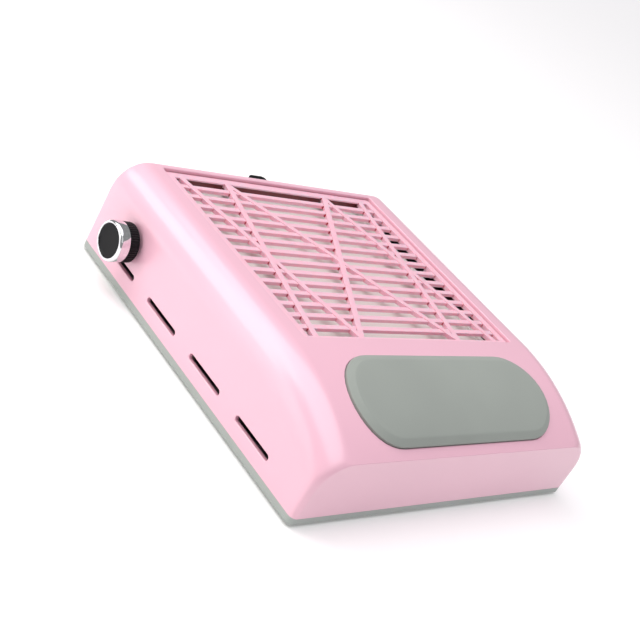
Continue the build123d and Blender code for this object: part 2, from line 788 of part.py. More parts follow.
def potentiometer_lead():
    """From the potentiometer down the left side and forward to the board's left connector."""
    pins = board_bottom + board_sheet + connector_height
    inner = -half_width + wall + pot_depth
    points = [(inner, knob_y, knob_z), (inner + 10, knob_y, knob_z), (-lead_x, 58, 8),
              (-lead_x, 30, pot_lead_z), (-lead_x, -66, pot_lead_z), (-62, -78, 9),
              (-16, connector_y, 28), (-16, connector_y, pins)]
    return lead(pot_lead_radius, points, [5, 10, 12, 16, 12, 3.5])


def motor_lead():
    """From the front of the motor can under the baffle to the board's middle connector."""
    pins = board_bottom + board_sheet + connector_height
    points = [(0, fan_y - motor_radius, motor_lead_exit), (0, 0, motor_lead_exit), (0, -16, 6), (0, -54, 6),
              (2, -58, 20), (2, connector_y, 26), (2, connector_y, pins)]
    return lead(motor_lead_radius, points, [8, 10, 2.5, 3, 3])


def lead_clips():
    """Small saddles that hold the long leads down on the tray floor."""
    clips = []
    for x, radius, z in ((lead_x, inlet_lead_radius, inlet_lead_z), (-lead_x, pot_lead_radius, pot_lead_z)):
        for y in clip_saddle_ys:
            saddle = block(x - 4, x + 4, y - 3, y + 3, tray_floor, z + radius + 1)
            clips.append(saddle - rod(radius, (x, y - 4, z), (x, y + 4, z)))
    return clips


NODES = {
    "upper_shell": upper_shell, "base_tray": base_tray, "grille_panel": grille_panel, "palm_pad": palm_pad,
    "rubber_feet": rubber_feet, "base_screws": base_screws, "inner_tray": inner_tray,
    "tray_screws": tray_screws, "fan_guard": fan_guard, "guard_screws": guard_screws,
    "filter_seal": filter_seal, "filter_frame": filter_frame, "filter_media": filter_media,
    "filter_pull": filter_pull, "motor_bracket": motor_bracket, "motor_grommets": motor_grommets,
    "motor_screws": motor_screws, "motor_can": motor_can, "motor_cap": motor_cap, "motor_shaft": motor_shaft,
    "impeller": impeller, "impeller_nut": impeller_nut, "control_board": control_board,
    "board_screws": board_screws, "board_capacitors": board_capacitors, "board_coil": board_coil,
    "board_connectors": board_connectors, "heat_sink": heat_sink, "power_transistor": power_transistor,
    "potentiometer_body": potentiometer_body, "potentiometer_washer": potentiometer_washer,
    "potentiometer_nut": potentiometer_nut, "potentiometer_shaft": potentiometer_shaft,
    "knob_skirt": knob_skirt, "knob_ring": knob_ring, "knob_cap": knob_cap, "dc_jack_body": dc_jack_body,
    "dc_jack_pin": dc_jack_pin, "dc_jack_nut": dc_jack_nut, "inlet_lead": inlet_lead,
    "potentiometer_lead": potentiometer_lead, "motor_lead": motor_lead, "lead_clips": lead_clips,
}


def main():
    """Writes every node, moved so that the origin lies under the middle of the whole object's box."""
    os.makedirs("parts", exist_ok=True)
    to_frame = Pos(-(knob_face + half_width) / 2, -(front + back + pull_reach) / 2, 0)
    for name, make in NODES.items():
        pieces = make()
        if not isinstance(pieces, list):
            pieces = [pieces]
        solids = [to_frame * solid for piece in pieces for solid in piece.solids()]
        export_step(solids[0] if len(solids) == 1 else Compound(children=solids), f"parts/{name}.step")


main()
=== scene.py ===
"""Looks of the nail dust collector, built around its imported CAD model."""
import json
import math

import bmesh
import bpy
from mathutils import Matrix, Vector


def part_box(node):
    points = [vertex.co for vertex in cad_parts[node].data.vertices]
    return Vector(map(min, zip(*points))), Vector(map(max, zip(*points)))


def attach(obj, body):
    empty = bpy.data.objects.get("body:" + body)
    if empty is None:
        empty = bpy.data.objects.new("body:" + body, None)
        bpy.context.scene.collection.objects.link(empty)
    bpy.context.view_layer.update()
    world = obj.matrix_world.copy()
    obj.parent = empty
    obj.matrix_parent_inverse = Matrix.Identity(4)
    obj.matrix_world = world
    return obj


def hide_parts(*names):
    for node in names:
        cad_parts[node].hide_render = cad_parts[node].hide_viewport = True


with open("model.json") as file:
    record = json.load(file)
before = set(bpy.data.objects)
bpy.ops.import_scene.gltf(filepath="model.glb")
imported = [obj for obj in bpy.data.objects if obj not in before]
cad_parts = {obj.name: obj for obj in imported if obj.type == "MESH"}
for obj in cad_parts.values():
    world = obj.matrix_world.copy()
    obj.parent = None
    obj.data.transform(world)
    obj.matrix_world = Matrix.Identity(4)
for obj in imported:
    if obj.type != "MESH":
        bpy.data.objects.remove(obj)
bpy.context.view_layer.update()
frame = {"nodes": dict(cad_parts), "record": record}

MM = 0.001

# Camera: azimuth 0 looks along +Y; the whole view is rolled, so the body leans in the frame.
CAMERA_AZIMUTH = 51.77
CAMERA_ELEVATION = 25.25
CAMERA_ROLL = -30.73
CAMERA_DISTANCE = 749.6 * MM
CAMERA_AIM = Vector((-14.3, 13.0, 31.5)) * MM
CAMERA_LENS = 68.66
CAMERA_SENSOR = 36.0
CAMERA_CLIP_NEAR = 0.01
CAMERA_CLIP_FAR = 50

# The pieces made here are drawn from the middle of the square body and then moved to it, so
# every place below is measured from there, in metres.
SHELL_LOW, SHELL_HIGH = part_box("upper_shell")
BODY = Vector(((SHELL_LOW.x + SHELL_HIGH.x) / 2, (SHELL_LOW.y + SHELL_HIGH.y) / 2, 0.0))
HALF_WIDTH = (SHELL_HIGH.x - SHELL_LOW.x) / 2
SEAM = SHELL_LOW.z
TOP = SHELL_HIGH.z
WALL = 2.5 * MM
EDGE_RADIUS = 20 * MM
SLOPE_START = -45 * MM
SLOPE_RADIUS = 138.8 * MM
PLAN_CORNER = 4 * MM
SMALLEST_CORNER = 1 * MM
RIDGE_RADIUS = 0.6 * MM
REAR_RADIUS = 1.6 * MM
HOLLOW_RADIUS = 0.01 * MM
CUT_BEVEL = 0.35 * MM
OVERCUT = 1 * MM

# How finely the shell is drawn: stations along its length and steps round its section.
RIDGE_STEPS = 6
SLOPE_STEPS = 44
FLAT_STATIONS = [y * MM for y in (-30, 0, 40, 80, 105, 112)]
CORNER_ANGLES = (20, 40, 60, 75)
STATION_GAP = 0.12 * MM
WALL_STEPS = 4
ROUND_STEPS = 16
TOP_STEPS = 16


def body_box(node):
    """A node's box measured from the middle of the body."""
    low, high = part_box(node)
    return low - BODY, high - BODY


GRILLE_LOW, GRILLE_HIGH = body_box("grille_panel")
GRILLE_GAP = 0.3 * MM
GRILLE_RIM = 3.0 * MM
GRILLE_SEAT = GRILLE_HIGH.z - GRILLE_RIM
# The grille's rear skirt and its painted shadow: the skirt's front face, how far either side of it the shadow
# reaches, and how far under the grille's top it begins.
SKIRT_FRONT = 111.6 * MM
SKIRT_SLACK = 0.35 * MM
SKIRT_DEPTH = 0.9 * MM
WINDOW_CORNER = 1.5 * MM
LEDGE = 2.0 * MM
LEDGE_THICKNESS = 1.5 * MM
WELL_BACK = HALF_WIDTH - 1 * MM
WELL_OVERLAP = 0.5 * MM

PAD_HALF_LENGTH = 86 * MM
PAD_FRONT = -114.3 * MM
PAD_BACK = -60.3 * MM
PAD_SEAT = 1.2 * MM
PAD_GAP = 0.3 * MM
PAD_PROUD = 3.0 * MM
PAD_BEVEL = 4.5 * MM
PAD_BEVEL_DROP = 1.7 * MM
PAD_SHOULDER = PAD_PROUD - PAD_BEVEL_DROP
PAD_STEPS = 18
PAD_COLUMNS = 24

# Levels of the pad and of its recess, bottom first: how far each lies outside the pad's outline
# (inside it where negative) and its height over the slope.
PAD_LEVELS = (
    (0.0, -PAD_SEAT),
    (0.0, PAD_SHOULDER - 0.35 * MM),
    (-0.1 * MM, PAD_SHOULDER - 0.1 * MM),
    (-0.35 * MM, PAD_SHOULDER + 0.06 * MM),
    (-PAD_BEVEL + 0.5 * MM, PAD_PROUD - 0.22 * MM),
    (-PAD_BEVEL, PAD_PROUD - 0.08 * MM),
    (-PAD_BEVEL - 0.5 * MM, PAD_PROUD - 0.02 * MM),
    (-PAD_BEVEL - 1.2 * MM, PAD_PROUD),
)
RECESS_LEVELS = (
    (PAD_GAP, -PAD_SEAT),
    (PAD_GAP, -CUT_BEVEL),
    (PAD_GAP + CUT_BEVEL, 0.02 * MM),
    (PAD_GAP + CUT_BEVEL, 5 * MM),
)

SLOT_CENTRES = [y * MM for y in (80.0, 29.7, -20.4, -71.0)]
SLOT_LENGTH = 32.5 * MM
SLOT_HEIGHT = 3.75 * MM
SLOT_Z = 16.8 * MM

DRAWER_HALF_WIDTH = 88.2 * MM
DRAWER_LOW = 45.6 * MM
DRAWER_HIGH = 56.2 * MM
DRAWER_CORNER = 0.6 * MM

PLEAT_PITCH = 2.6 * MM
PLEAT_DEPTH = 1.1 * MM
PLEAT_ROUND = 0.25 * MM
PAPER_THICKNESS = 0.4 * MM
PAPER_COLUMNS = 24

KNOB_LOW, KNOB_HIGH = body_box("knob_ring")
KNOB_CENTRE = (KNOB_LOW + KNOB_HIGH) / 2
KNOB_RADIUS = (KNOB_HIGH.z - KNOB_LOW.z) / 2
KNOB_FACE = KNOB_LOW.x
KNOB_STEP = KNOB_HIGH.x
KNOB_REAR = body_box("knob_skirt")[1].x
KNOB_HOLE_RADIUS = 3.5 * MM
JACK_LOW, JACK_HIGH = body_box("dc_jack_nut")
JACK_CENTRE = (JACK_LOW + JACK_HIGH) / 2
JACK_HOLE_RADIUS = 5.4 * MM


# ---------------------------------------------------------------- mesh helpers

SAME_POINT = 1e-7
ON_AXIS = 1e-6


def new_object(name, vertices, faces):
    """Mesh object from plain lists, with its normals made to point outwards."""
    mesh = bpy.data.meshes.new(name)
    mesh.from_pydata([tuple(v) for v in vertices], [], faces)
    work = bmesh.new()
    work.from_mesh(mesh)
    bmesh.ops.remove_doubles(work, verts=work.verts, dist=SAME_POINT)
    bmesh.ops.recalc_face_normals(work, faces=work.faces)
    work.to_mesh(mesh)
    work.free()
    obj = bpy.data.objects.new(name, mesh)
    bpy.context.scene.collection.objects.link(obj)
    return obj


def smooth(obj, angle=32):
    """Smooth shading, sharp where two faces meet at more than the angle."""
    obj.data.shade_smooth()
    obj.data.set_sharp_from_angle(angle=math.radians(angle))


def even_shading(obj, weight=50):
    """Weighted normals, so that large faces look flat beside their rounded edges."""
    weighted = obj.modifiers.new("even shading", "WEIGHTED_NORMAL")
    weighted.keep_sharp = True
    weighted.weight = weight


def boolean(obj, cutter, operation="DIFFERENCE"):
    """Cuts or joins at once and deletes the other object."""
    modifier = obj.modifiers.new("cut", "BOOLEAN")
    modifier.operation = operation
    modifier.solver = "EXACT"
    modifier.object = cutter
    evaluated = obj.evaluated_get(bpy.context.evaluated_depsgraph_get())
    mesh = bpy.data.meshes.new_from_object(evaluated)
    obj.modifiers.clear()
    old = obj.data
    obj.data = mesh
    bpy.data.meshes.remove(old)
    spare = cutter.data
    bpy.data.objects.remove(cutter)
    bpy.data.meshes.remove(spare)


def lofted(name, rings):
    """Closed rings of equal length joined one to the next, with a flat face at each end."""
    count = len(rings[0])
    vertices = [point for ring in rings for point in ring]
    faces = []
    for i in range(len(rings) - 1):
        for j in range(count):
            k = (j + 1) % count
            faces.append((i * count + j, i * count + k, (i + 1) * count + k, (i + 1) * count + j))
    faces.append(tuple(range(count)))
    faces.append(tuple(range((len(rings) - 1) * count, len(rings) * count)))
    return new_object(name, vertices, faces)


def box_object(name, low, high):
    """Plain box between two opposite corners."""
    x0, y0, z0 = low
    x1, y1, z1 = high
    ring = [(x0, y0), (x1, y0), (x1, y1), (x0, y1)]
    return lofted(name, [[(x, y, z) for x, y in ring] for z in (z0, z1)])


def arc(cx, cy, radius, start, end, steps):
    """Points of a circular arc, angles in degrees."""
    angles = [math.radians(start + (end - start) * i / steps) for i in range(steps + 1)]
    return [(cx + radius * math.cos(angle), cy + radius * math.sin(angle)) for angle in angles]


def circle(radius, steps):
    """Points round a circle about the origin."""
    angles = [2 * math.pi * i / steps for i in range(steps)]
    return [(radius * math.cos(angle), radius * math.sin(angle)) for angle in angles]


def rounded_rectangle(x0, x1, y0, y1, radius, steps=5):
    """Corner arcs of a rectangle, counter-clockwise."""
    points = []
    corners = ((x1 - radius, y0 + radius, -90), (x1 - radius, y1 - radius, 0),
               (x0 + radius, y1 - radius, 90), (x0 + radius, y0 + radius, 180))
    for cx, cy, start in corners:
        points += arc(cx, cy, radius, start, start + 90, steps)
    return points


def turned(name, centre, profile, steps=96, flutes=None):
    """Solid of revolution about the X axis; the profile is (x, radius) from one end round to the other.

    A profile that starts and ends on the axis is closed there; otherwise it is closed on itself.
    flutes is (first index, last index, count, depth) and cuts grooves along part of the profile.
    """
    vertices = []
    for index, (x, radius) in enumerate(profile):
        for step in range(steps):
            angle = 2 * math.pi * step / steps
            r = radius
            if flutes and flutes[0] <= index <= flutes[1]:
                r -= flutes[3] * (0.5 - 0.5 * math.cos(flutes[2] * angle)) ** 2
            vertices.append((x, centre.y + r * math.cos(angle), centre.z + r * math.sin(angle)))
    closed = profile[0][1] > ON_AXIS
    count = len(profile)
    faces = []
    for i in range(count if closed else count - 1):
        for j in range(steps):
            k = (j + 1) % steps
            n = (i + 1) % count
            faces.append((i * steps + j, i * steps + k, n * steps + k, n * steps + j))
    obj = new_object(name, vertices, faces)
    smooth(obj)
    return obj


def dress(obj, body, slot, node):
    """Rides the piece on its body, hides the CAD node it stands for and gives it its slot's material."""
    obj.data.transform(Matrix.Translation(BODY))
    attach(obj, body)
    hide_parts(node)
    obj.data.materials.clear()
    obj.data.materials.append(MATERIALS[slot])


# ---------------------------------------------------------------- materials

COAT_ROUGHNESS = 0.18
SHEEN_WEIGHT = 0.15
SHEEN_ROUGHNESS = 0.5
CREASE_SAMPLES = 8


def start_material(name):
    """Material with nothing but a Principled shader: the material, its nodes, its links and the shader."""
    material = bpy.data.materials.new(name)
    material.use_nodes = True
    nodes = material.node_tree.nodes
    nodes.clear()
    output = nodes.new("ShaderNodeOutputMaterial")
    shader = nodes.new("ShaderNodeBsdfPrincipled")
    material.node_tree.links.new(shader.outputs["BSDF"], output.inputs["Surface"])
    return material, nodes, material.node_tree.links, shader


def object_place(nodes):
    """Place in object space, which stays put when the piece moves."""
    return nodes.new("ShaderNodeTexCoord").outputs["Object"]


def noise_node(nodes, links, scale, detail=4.0, roughness=0.55, squeeze=(1, 1, 1)):
    """Noise in object space; squeeze makes it finer along an axis, so it streaks across that axis."""
    mapping = nodes.new("ShaderNodeMapping")
    mapping.inputs["Scale"].default_value = squeeze
    texture = nodes.new("ShaderNodeTexNoise")
    texture.inputs["Scale"].default_value = scale
    texture.inputs["Detail"].default_value = detail
    texture.inputs["Roughness"].default_value = roughness
    links.new(object_place(nodes), mapping.inputs["Vector"])
    links.new(mapping.outputs["Vector"], texture.inputs["Vector"])
    return texture.outputs["Fac"]


def ramp(nodes, links, source, low, high, low_at=0.3, high_at=0.7):
    """Colour ramp between two greys or colours."""
    node = nodes.new("ShaderNodeValToRGB")
    first, last = node.color_ramp.elements
    first.position = low_at
    last.position = high_at
    first.color = low if isinstance(low, tuple) else (low, low, low, 1)
    last.color = high if isinstance(high, tuple) else (high, high, high, 1)
    links.new(source, node.inputs["Fac"])
    return node.outputs["Color"]


def linear(red, green, blue):
    """Linear colour from an 8-bit screen colour."""
    def channel(value):
        share = value / 255
        return share / 12.92 if share <= 0.04045 else ((share + 0.055) / 1.055) ** 2.4
    return (channel(red), channel(green), channel(blue), 1.0)


def shade(colour, factor):
    """The colour made lighter or darker by a factor."""
    return tuple(c * factor for c in colour[:3]) + (1.0,)


def add_bump(nodes, links, shader, source, strength, distance):
    """Bump from a source of heights."""
    bump = nodes.new("ShaderNodeBump")
    bump.inputs["Strength"].default_value = strength
    bump.inputs["Distance"].default_value = distance
    links.new(source, bump.inputs["Height"])
    links.new(bump.outputs["Normal"], shader.inputs["Normal"])


def plastic(name, colour, rough=(0.25, 0.35), grain=2500, depth=0.02 * MM, coat=0.0, mottle=0.04,
            specular=0.5):
    """Moulded plastic: slow colour drift, grain in its gloss and a fine moulded skin."""
    material, nodes, links, shader = start_material(name)
    drift = noise_node(nodes, links, scale=14, detail=2)
    base = ramp(nodes, links, drift, shade(colour, 1 - mottle), shade(colour, 1 + mottle / 2))
    links.new(base, shader.inputs["Base Color"])
    skin = noise_node(nodes, links, scale=grain, detail=3)
    links.new(ramp(nodes, links, skin, rough[0], rough[1]), shader.inputs["Roughness"])
    add_bump(nodes, links, shader, skin, strength=0.35, distance=depth)
    shader.inputs["Coat Weight"].default_value = coat
    shader.inputs["Coat Roughness"].default_value = COAT_ROUGHNESS
    shader.inputs["Specular IOR Level"].default_value = specular
    return material


def see_through(material, weight, colour_reach, scale):
    """Light spreading inside thin moulded bars, red the furthest."""
    shader = material.node_tree.nodes["Principled BSDF"]
    shader.inputs["Subsurface Weight"].default_value = weight
    shader.inputs["Subsurface Radius"].default_value = colour_reach
    shader.inputs["Subsurface Scale"].default_value = scale


def mix_in(material, share, tint):
    """Lays a tint over the material's base colour, as far as share says."""
    nodes = material.node_tree.nodes
    links = material.node_tree.links
    shader = nodes["Principled BSDF"]
    plain = shader.inputs["Base Color"].links[0].from_socket
    mix = nodes.new("ShaderNodeMix")
    mix.data_type = "RGBA"
    links.new(share, mix.inputs["Factor"])
    links.new(plain, mix.inputs["A"])
    mix.inputs["B"].default_value = tint
    links.new(mix.outputs["Result"], shader.inputs["Base Color"])


def paint_crease_shade(material, tint, reach):
    """Painted shade: darkens the deep inner corners of a moulded lattice, found by ambient occlusion, to a
    deep red that stands in for their shade and the light bounced between its walls.
    """
    nodes = material.node_tree.nodes
    crease = nodes.new("ShaderNodeAmbientOcclusion")
    crease.inputs["Distance"].default_value = reach
    crease.samples = CREASE_SAMPLES
    share = ramp(nodes, material.node_tree.links, crease.outputs["AO"], 1.0, 0.0, low_at=0.48, high_at=0.68)
    mix_in(material, share, tint)


def paint_skirt_shadow(material, tint):
    """Painted shadow: deep red on the grille's rear skirt below its top, standing in for the shade under the
    rim and the light that reaches it only through the pink plastic.
    """
    nodes = material.node_tree.nodes
    links = material.node_tree.links
    split = nodes.new("ShaderNodeSeparateXYZ")
    links.new(object_place(nodes), split.inputs["Vector"])
    behind = nodes.new("ShaderNodeMath")
    behind.operation = "COMPARE"
    behind.inputs[1].default_value = BODY.y + SKIRT_FRONT
    behind.inputs[2].default_value = SKIRT_SLACK
    links.new(split.outputs["Y"], behind.inputs[0])
    under = nodes.new("ShaderNodeMath")
    under.operation = "LESS_THAN"
    under.inputs[1].default_value = GRILLE_HIGH.z - SKIRT_DEPTH
    links.new(split.outputs["Z"], under.inputs[0])
    both = nodes.new("ShaderNodeMath")
    both.operation = "MULTIPLY"
    links.new(behind.outputs[0], both.inputs[0])
    links.new(under.outputs[0], both.inputs[1])
    mix_in(material, both.outputs[0], tint)


def rubber(name, colour, rough=(0.62, 0.78), grain=3500, depth=0.04 * MM):
    """Matt silicone or rubber with a faint pore texture and a soft sheen."""
    material = plastic(name, colour, rough, grain, depth, mottle=0.06)
    shader = material.node_tree.nodes["Principled BSDF"]
    shader.inputs["Sheen Weight"].default_value = SHEEN_WEIGHT
    shader.inputs["Sheen Roughness"].default_value = SHEEN_ROUGHNESS
    return material


def metal(name, colour, rough=(0.22, 0.4), grain=400, squeeze=(1, 1, 1), depth=0.01 * MM):
    """Bare or plated metal, even or brushed; brushed metal is noise squeezed along one axis."""
    material, nodes, links, shader = start_material(name)
    source = noise_node(nodes, links, scale=grain, detail=5, roughness=0.6, squeeze=squeeze)
    base = ramp(nodes, links, source, shade(colour, 0.86), shade(colour, 1.04))
    links.new(base, shader.inputs["Base Color"])
    links.new(ramp(nodes, links, source, rough[0], rough[1]), shader.inputs["Roughness"])
    shader.inputs["Metallic"].default_value = 1.0
    add_bump(nodes, links, shader, source, strength=0.3, distance=depth)
    return material


def paper(name, colour):
    """Fibrous filter paper with a loose weave of pale fibres."""
    material, nodes, links, shader = start_material(name)
    fibres = noise_node(nodes, links, scale=900, detail=8, roughness=0.75, squeeze=(1, 3.5, 1))
    base = ramp(nodes, links, fibres, shade(colour, 0.88), shade(colour, 1.02))
    links.new(base, shader.inputs["Base Color"])
    shader.inputs["Roughness"].default_value = 0.92
    add_bump(nodes, links, shader, fibres, strength=0.5, distance=0.1 * MM)
    return material


def board(name):
    """Green circuit board with a lattice of copper tracks under the solder mask."""
    material, nodes, links, shader = start_material(name)
    tracks = nodes.new("ShaderNodeTexBrick")
    tracks.inputs["Scale"].default_value = 160
    tracks.inputs["Mortar Size"].default_value = 0.06
    tracks.inputs["Color1"].default_value = linear(12, 84, 48)
    tracks.inputs["Color2"].default_value = linear(16, 96, 56)
    tracks.inputs["Mortar"].default_value = linear(44, 132, 74)
    links.new(object_place(nodes), tracks.inputs["Vector"])
    links.new(tracks.outputs["Color"], shader.inputs["Base Color"])
    fine = noise_node(nodes, links, scale=1200, detail=3)
    links.new(ramp(nodes, links, fine, 0.2, 0.32), shader.inputs["Roughness"])
    add_bump(nodes, links, shader, tracks.outputs["Fac"], strength=0.4, distance=0.03 * MM)
    return material


def foam(name, colour):
    """Open-cell foam strip."""
    material, nodes, links, shader = start_material(name)
    cells = nodes.new("ShaderNodeTexVoronoi")
    cells.inputs["Scale"].default_value = 1400
    links.new(object_place(nodes), cells.inputs["Vector"])
    base = ramp(nodes, links, cells.outputs["Distance"], shade(colour, 0.5), colour, low_at=0.0, high_at=0.6)
    links.new(base, shader.inputs["Base Color"])
    shader.inputs["Roughness"].default_value = 0.95
    add_bump(nodes, links, shader, cells.outputs["Distance"], strength=0.7, distance=0.2 * MM)
    return material


MATERIALS = {
    "pink_gloss": plastic("shell_pink", linear(240, 188, 206), (0.32, 0.38), grain=1800,
                          depth=0.006 * MM, coat=0.8, mottle=0.015),
    "pink_satin": plastic("grille_pink", linear(241, 190, 206), (0.34, 0.42), grain=2200,
                          depth=0.008 * MM, coat=0.2, mottle=0.015),
    "grey_tray": plastic("tray_grey", linear(168, 175, 171), (0.42, 0.56), grain=4200,
                         depth=0.04 * MM, mottle=0.05),
    "black_tray": plastic("tray_black", linear(16, 14, 14), (0.5, 0.64), grain=3600,
                          depth=0.04 * MM, mottle=0.08),
    "black_pull": plastic("pull_black", linear(7, 7, 8), (0.5, 0.62), grain=3600,
                          depth=0.03 * MM, mottle=0.08, specular=0.12),
    "knob_black": plastic("knob_black", linear(10, 11, 14), (0.36, 0.46), grain=3800,
                          depth=0.02 * MM, mottle=0.08, specular=0.16),
    "impeller_plastic": plastic("impeller_black", linear(40, 41, 44), (0.38, 0.52), grain=2600,
                                depth=0.03 * MM, mottle=0.08),
    "white_frame": plastic("frame_white", linear(232, 231, 226), (0.36, 0.48), grain=3200,
                           depth=0.03 * MM, mottle=0.03),
    "connector_white": plastic("connector_white", linear(226, 224, 212), (0.34, 0.46), grain=3000,
                               depth=0.02 * MM, mottle=0.03),
    "capacitor_sleeve": plastic("capacitor_sleeve", linear(24, 28, 60), (0.18, 0.28), grain=2600,
                                depth=0.02 * MM, coat=0.3, mottle=0.06),
    "silicone_pad": rubber("pad_silicone", linear(149, 155, 149)),
    "foot_rubber": rubber("foot_rubber", linear(34, 34, 35)),
    "lead_black": rubber("lead_black", linear(28, 28, 30), (0.45, 0.6), grain=2600, depth=0.03 * MM),
    "seal_foam": foam("seal_foam", linear(48, 48, 50)),
    "filter_paper": paper("filter_paper", linear(240, 237, 232)),
    "board_green": board("board_green"),
    "plated_screw": metal("plated_screw", linear(206, 206, 210), (0.2, 0.36), grain=900),
    "guard_steel": metal("guard_steel", linear(190, 192, 196), (0.2, 0.34), grain=700),
    "bracket_steel": metal("bracket_steel", linear(196, 197, 200), (0.28, 0.46), grain=260,
                           squeeze=(1, 9, 1)),
    "motor_steel": metal("motor_steel", linear(150, 152, 157), (0.26, 0.42), grain=300, squeeze=(1, 1, 9)),
    "shaft_steel": metal("shaft_steel", linear(214, 214, 217), (0.14, 0.26), grain=500, squeeze=(1, 1, 7)),
    "sink_aluminium": metal("sink_aluminium", linear(204, 206, 208), (0.34, 0.5), grain=300,
                            squeeze=(1, 1, 8)),
    "coil_copper": metal("coil_copper", linear(176, 96, 52), (0.28, 0.4), grain=260, squeeze=(9, 1, 1)),
    "jack_brass": metal("jack_brass", linear(204, 176, 110), (0.22, 0.36), grain=800),
    "knob_chrome": metal("knob_chrome", linear(236, 237, 240), (0.03, 0.06), grain=600, depth=0.002 * MM),
}
see_through(MATERIALS["pink_satin"], weight=0.55, colour_reach=(1.0, 0.42, 0.48), scale=3.5 * MM)
# Painted shade: a dark crimson laid into the grille's deep inner corners.
paint_crease_shade(MATERIALS["pink_satin"], linear(190, 70, 84), reach=2.4 * MM)
# Painted shadow: a deep red on the grille's rear skirt, behind the last row of openings.
paint_skirt_shadow(MATERIALS["pink_satin"], linear(122, 40, 46))


# ---------------------------------------------------------------- upper shell

def slope_fall(y):
    """How far the top has fallen below the flat part at y."""
    if y >= SLOPE_START:
        return 0.0
    return SLOPE_RADIUS - math.sqrt(SLOPE_RADIUS ** 2 - (SLOPE_START - y) ** 2)


def in_order(stations):
    """Stations from the front of the body to its back."""
    return sorted(stations, key=lambda station: station[0])


def height_at(stations, y):
    """Height on the straight line between the stations on either side of y."""
    ordered = in_order(stations)
    for (y0, z0), (y1, z1) in zip(ordered, ordered[1:]):
        if y0 <= y <= y1 and y1 > y0:
            return z0 + (z1 - z0) * (y - y0) / (y1 - y0)
    raise ValueError("y is off the body")


def shell_stations(inset, ridge, rear):
    """(y, height of the top) from the front face to the back one, the ridge and the rear edge rounded."""
    half = HALF_WIDTH - inset
    top = TOP - inset
    slope_angle = math.degrees(math.asin((SLOPE_START + half) / SLOPE_RADIUS))
    crest = top - slope_fall(-half)
    tangent = ridge * math.tan(math.radians(90 - slope_angle) / 2)
    stations = arc(-half + ridge, crest - tangent, ridge, 180, 90 + slope_angle, RIDGE_STEPS)
    start = stations[-1][0]
    for i in range(1, SLOPE_STEPS + 1):
        y = start + (SLOPE_START - start) * i / SLOPE_STEPS
        stations.append((y, top - slope_fall(y)))
    stations += [(y, top) for y in FLAT_STATIONS]
    stations += arc(half - rear, top - rear, rear, 90, 0, RIDGE_STEPS)
    corner = max(PLAN_CORNER - inset, SMALLEST_CORNER)
    for angle in CORNER_ANGLES:
        y = half - corner * (1 - math.sin(math.radians(angle)))
        for side in (-1, 1):
            if all(abs(side * y - near) > STATION_GAP for near, _ in stations):
                stations.append((side * y, height_at(stations, side * y)))
    return in_order(stations)


def shell_form(name, inset, ridge, rear, bottom):
    """Closed body form drawn in by inset, its long edges rounded and its plan corners rounded."""
    half = HALF_WIDTH - inset
    corner = max(PLAN_CORNER - inset, SMALLEST_CORNER)
    radius = EDGE_RADIUS - inset
    rings = []
    for y, height in shell_stations(inset, ridge, rear):
        into = max(abs(y) - (half - corner), 0.0)
        width = half - (corner - math.sqrt(max(corner ** 2 - into ** 2, 0.0)))
        side_top = height - radius
        flat = width - radius
        ring = [(-width, bottom + (side_top - bottom) * i / WALL_STEPS) for i in range(WALL_STEPS)]
        ring += arc(-width + radius, side_top, radius, 180, 90, ROUND_STEPS)
        ring += [(-flat + 2 * flat * i / TOP_STEPS, height) for i in range(1, TOP_STEPS)]
        ring += arc(width - radius, side_top, radius, 90, 0, ROUND_STEPS)
        ring += [(width, side_top + (bottom - side_top) * i / WALL_STEPS) for i in range(1, WALL_STEPS + 1)]
        rings.append([(x, y, z) for x, z in ring])
    return lofted(name, rings)


def on_slope(u, v, height):
    """Point at u across, v along the slope's arc from its start, and height above its surface."""
    angle = v / SLOPE_RADIUS
    reach = SLOPE_RADIUS + height
    return (u, SLOPE_START - reach * math.sin(angle), TOP - SLOPE_RADIUS + reach * math.cos(angle))


PAD_V_BACK = SLOPE_RADIUS * math.asin((SLOPE_START - PAD_BACK) / SLOPE_RADIUS)
PAD_V_FRONT = SLOPE_RADIUS * math.asin((SLOPE_START - PAD_FRONT) / SLOPE_RADIUS)
PAD_V_MIDDLE = (PAD_V_BACK + PAD_V_FRONT) / 2
PAD_RADIUS = (PAD_V_FRONT - PAD_V_BACK) / 2


def pad_edge(grow):
    """Right-hand edge of the pad's stadium from back to front, as (u, v) pairs; the left one mirrors it."""
    radius = PAD_RADIUS + grow
    reach = PAD_HALF_LENGTH - PAD_RADIUS
    angles = [math.pi * i / PAD_STEPS for i in range(PAD_STEPS + 1)]
    return [(reach + radius * math.sin(angle), PAD_V_MIDDLE - radius * math.cos(angle)) for angle in angles]


def pad_rim(edge, height):
    """Ring of points round the stadium at one height over the slope."""
    right = [on_slope(u, v, height) for u, v in edge]
    left = [on_slope(-u, v, height) for u, v in edge]
    inner = range(1, PAD_COLUMNS)
    back_u, back_v = edge[0]
    front_u, front_v = edge[-1]
    back = [on_slope(back_u * (-1 + 2 * k / PAD_COLUMNS), back_v, height) for k in inner]
    front = [on_slope(front_u * (1 - 2 * k / PAD_COLUMNS), front_v, height) for k in inner]
    return back + right + front + left[::-1]


def pad_cap(edge, height, start, downwards):
    """Points and faces of a grid that fills the stadium; start is the number of its first point."""
    points = []
    for u, v in edge:
        for k in range(PAD_COLUMNS + 1):
            points.append(on_slope(u * (-1 + 2 * k / PAD_COLUMNS), v, height))
    faces = []
    for i in range(len(edge) - 1):
        for k in range(PAD_COLUMNS):
            a = start + i * (PAD_COLUMNS + 1) + k
            b = a + PAD_COLUMNS + 1
            faces.append((a, a + 1, b + 1, b) if downwards else (a, b, b + 1, a + 1))
    return points, faces


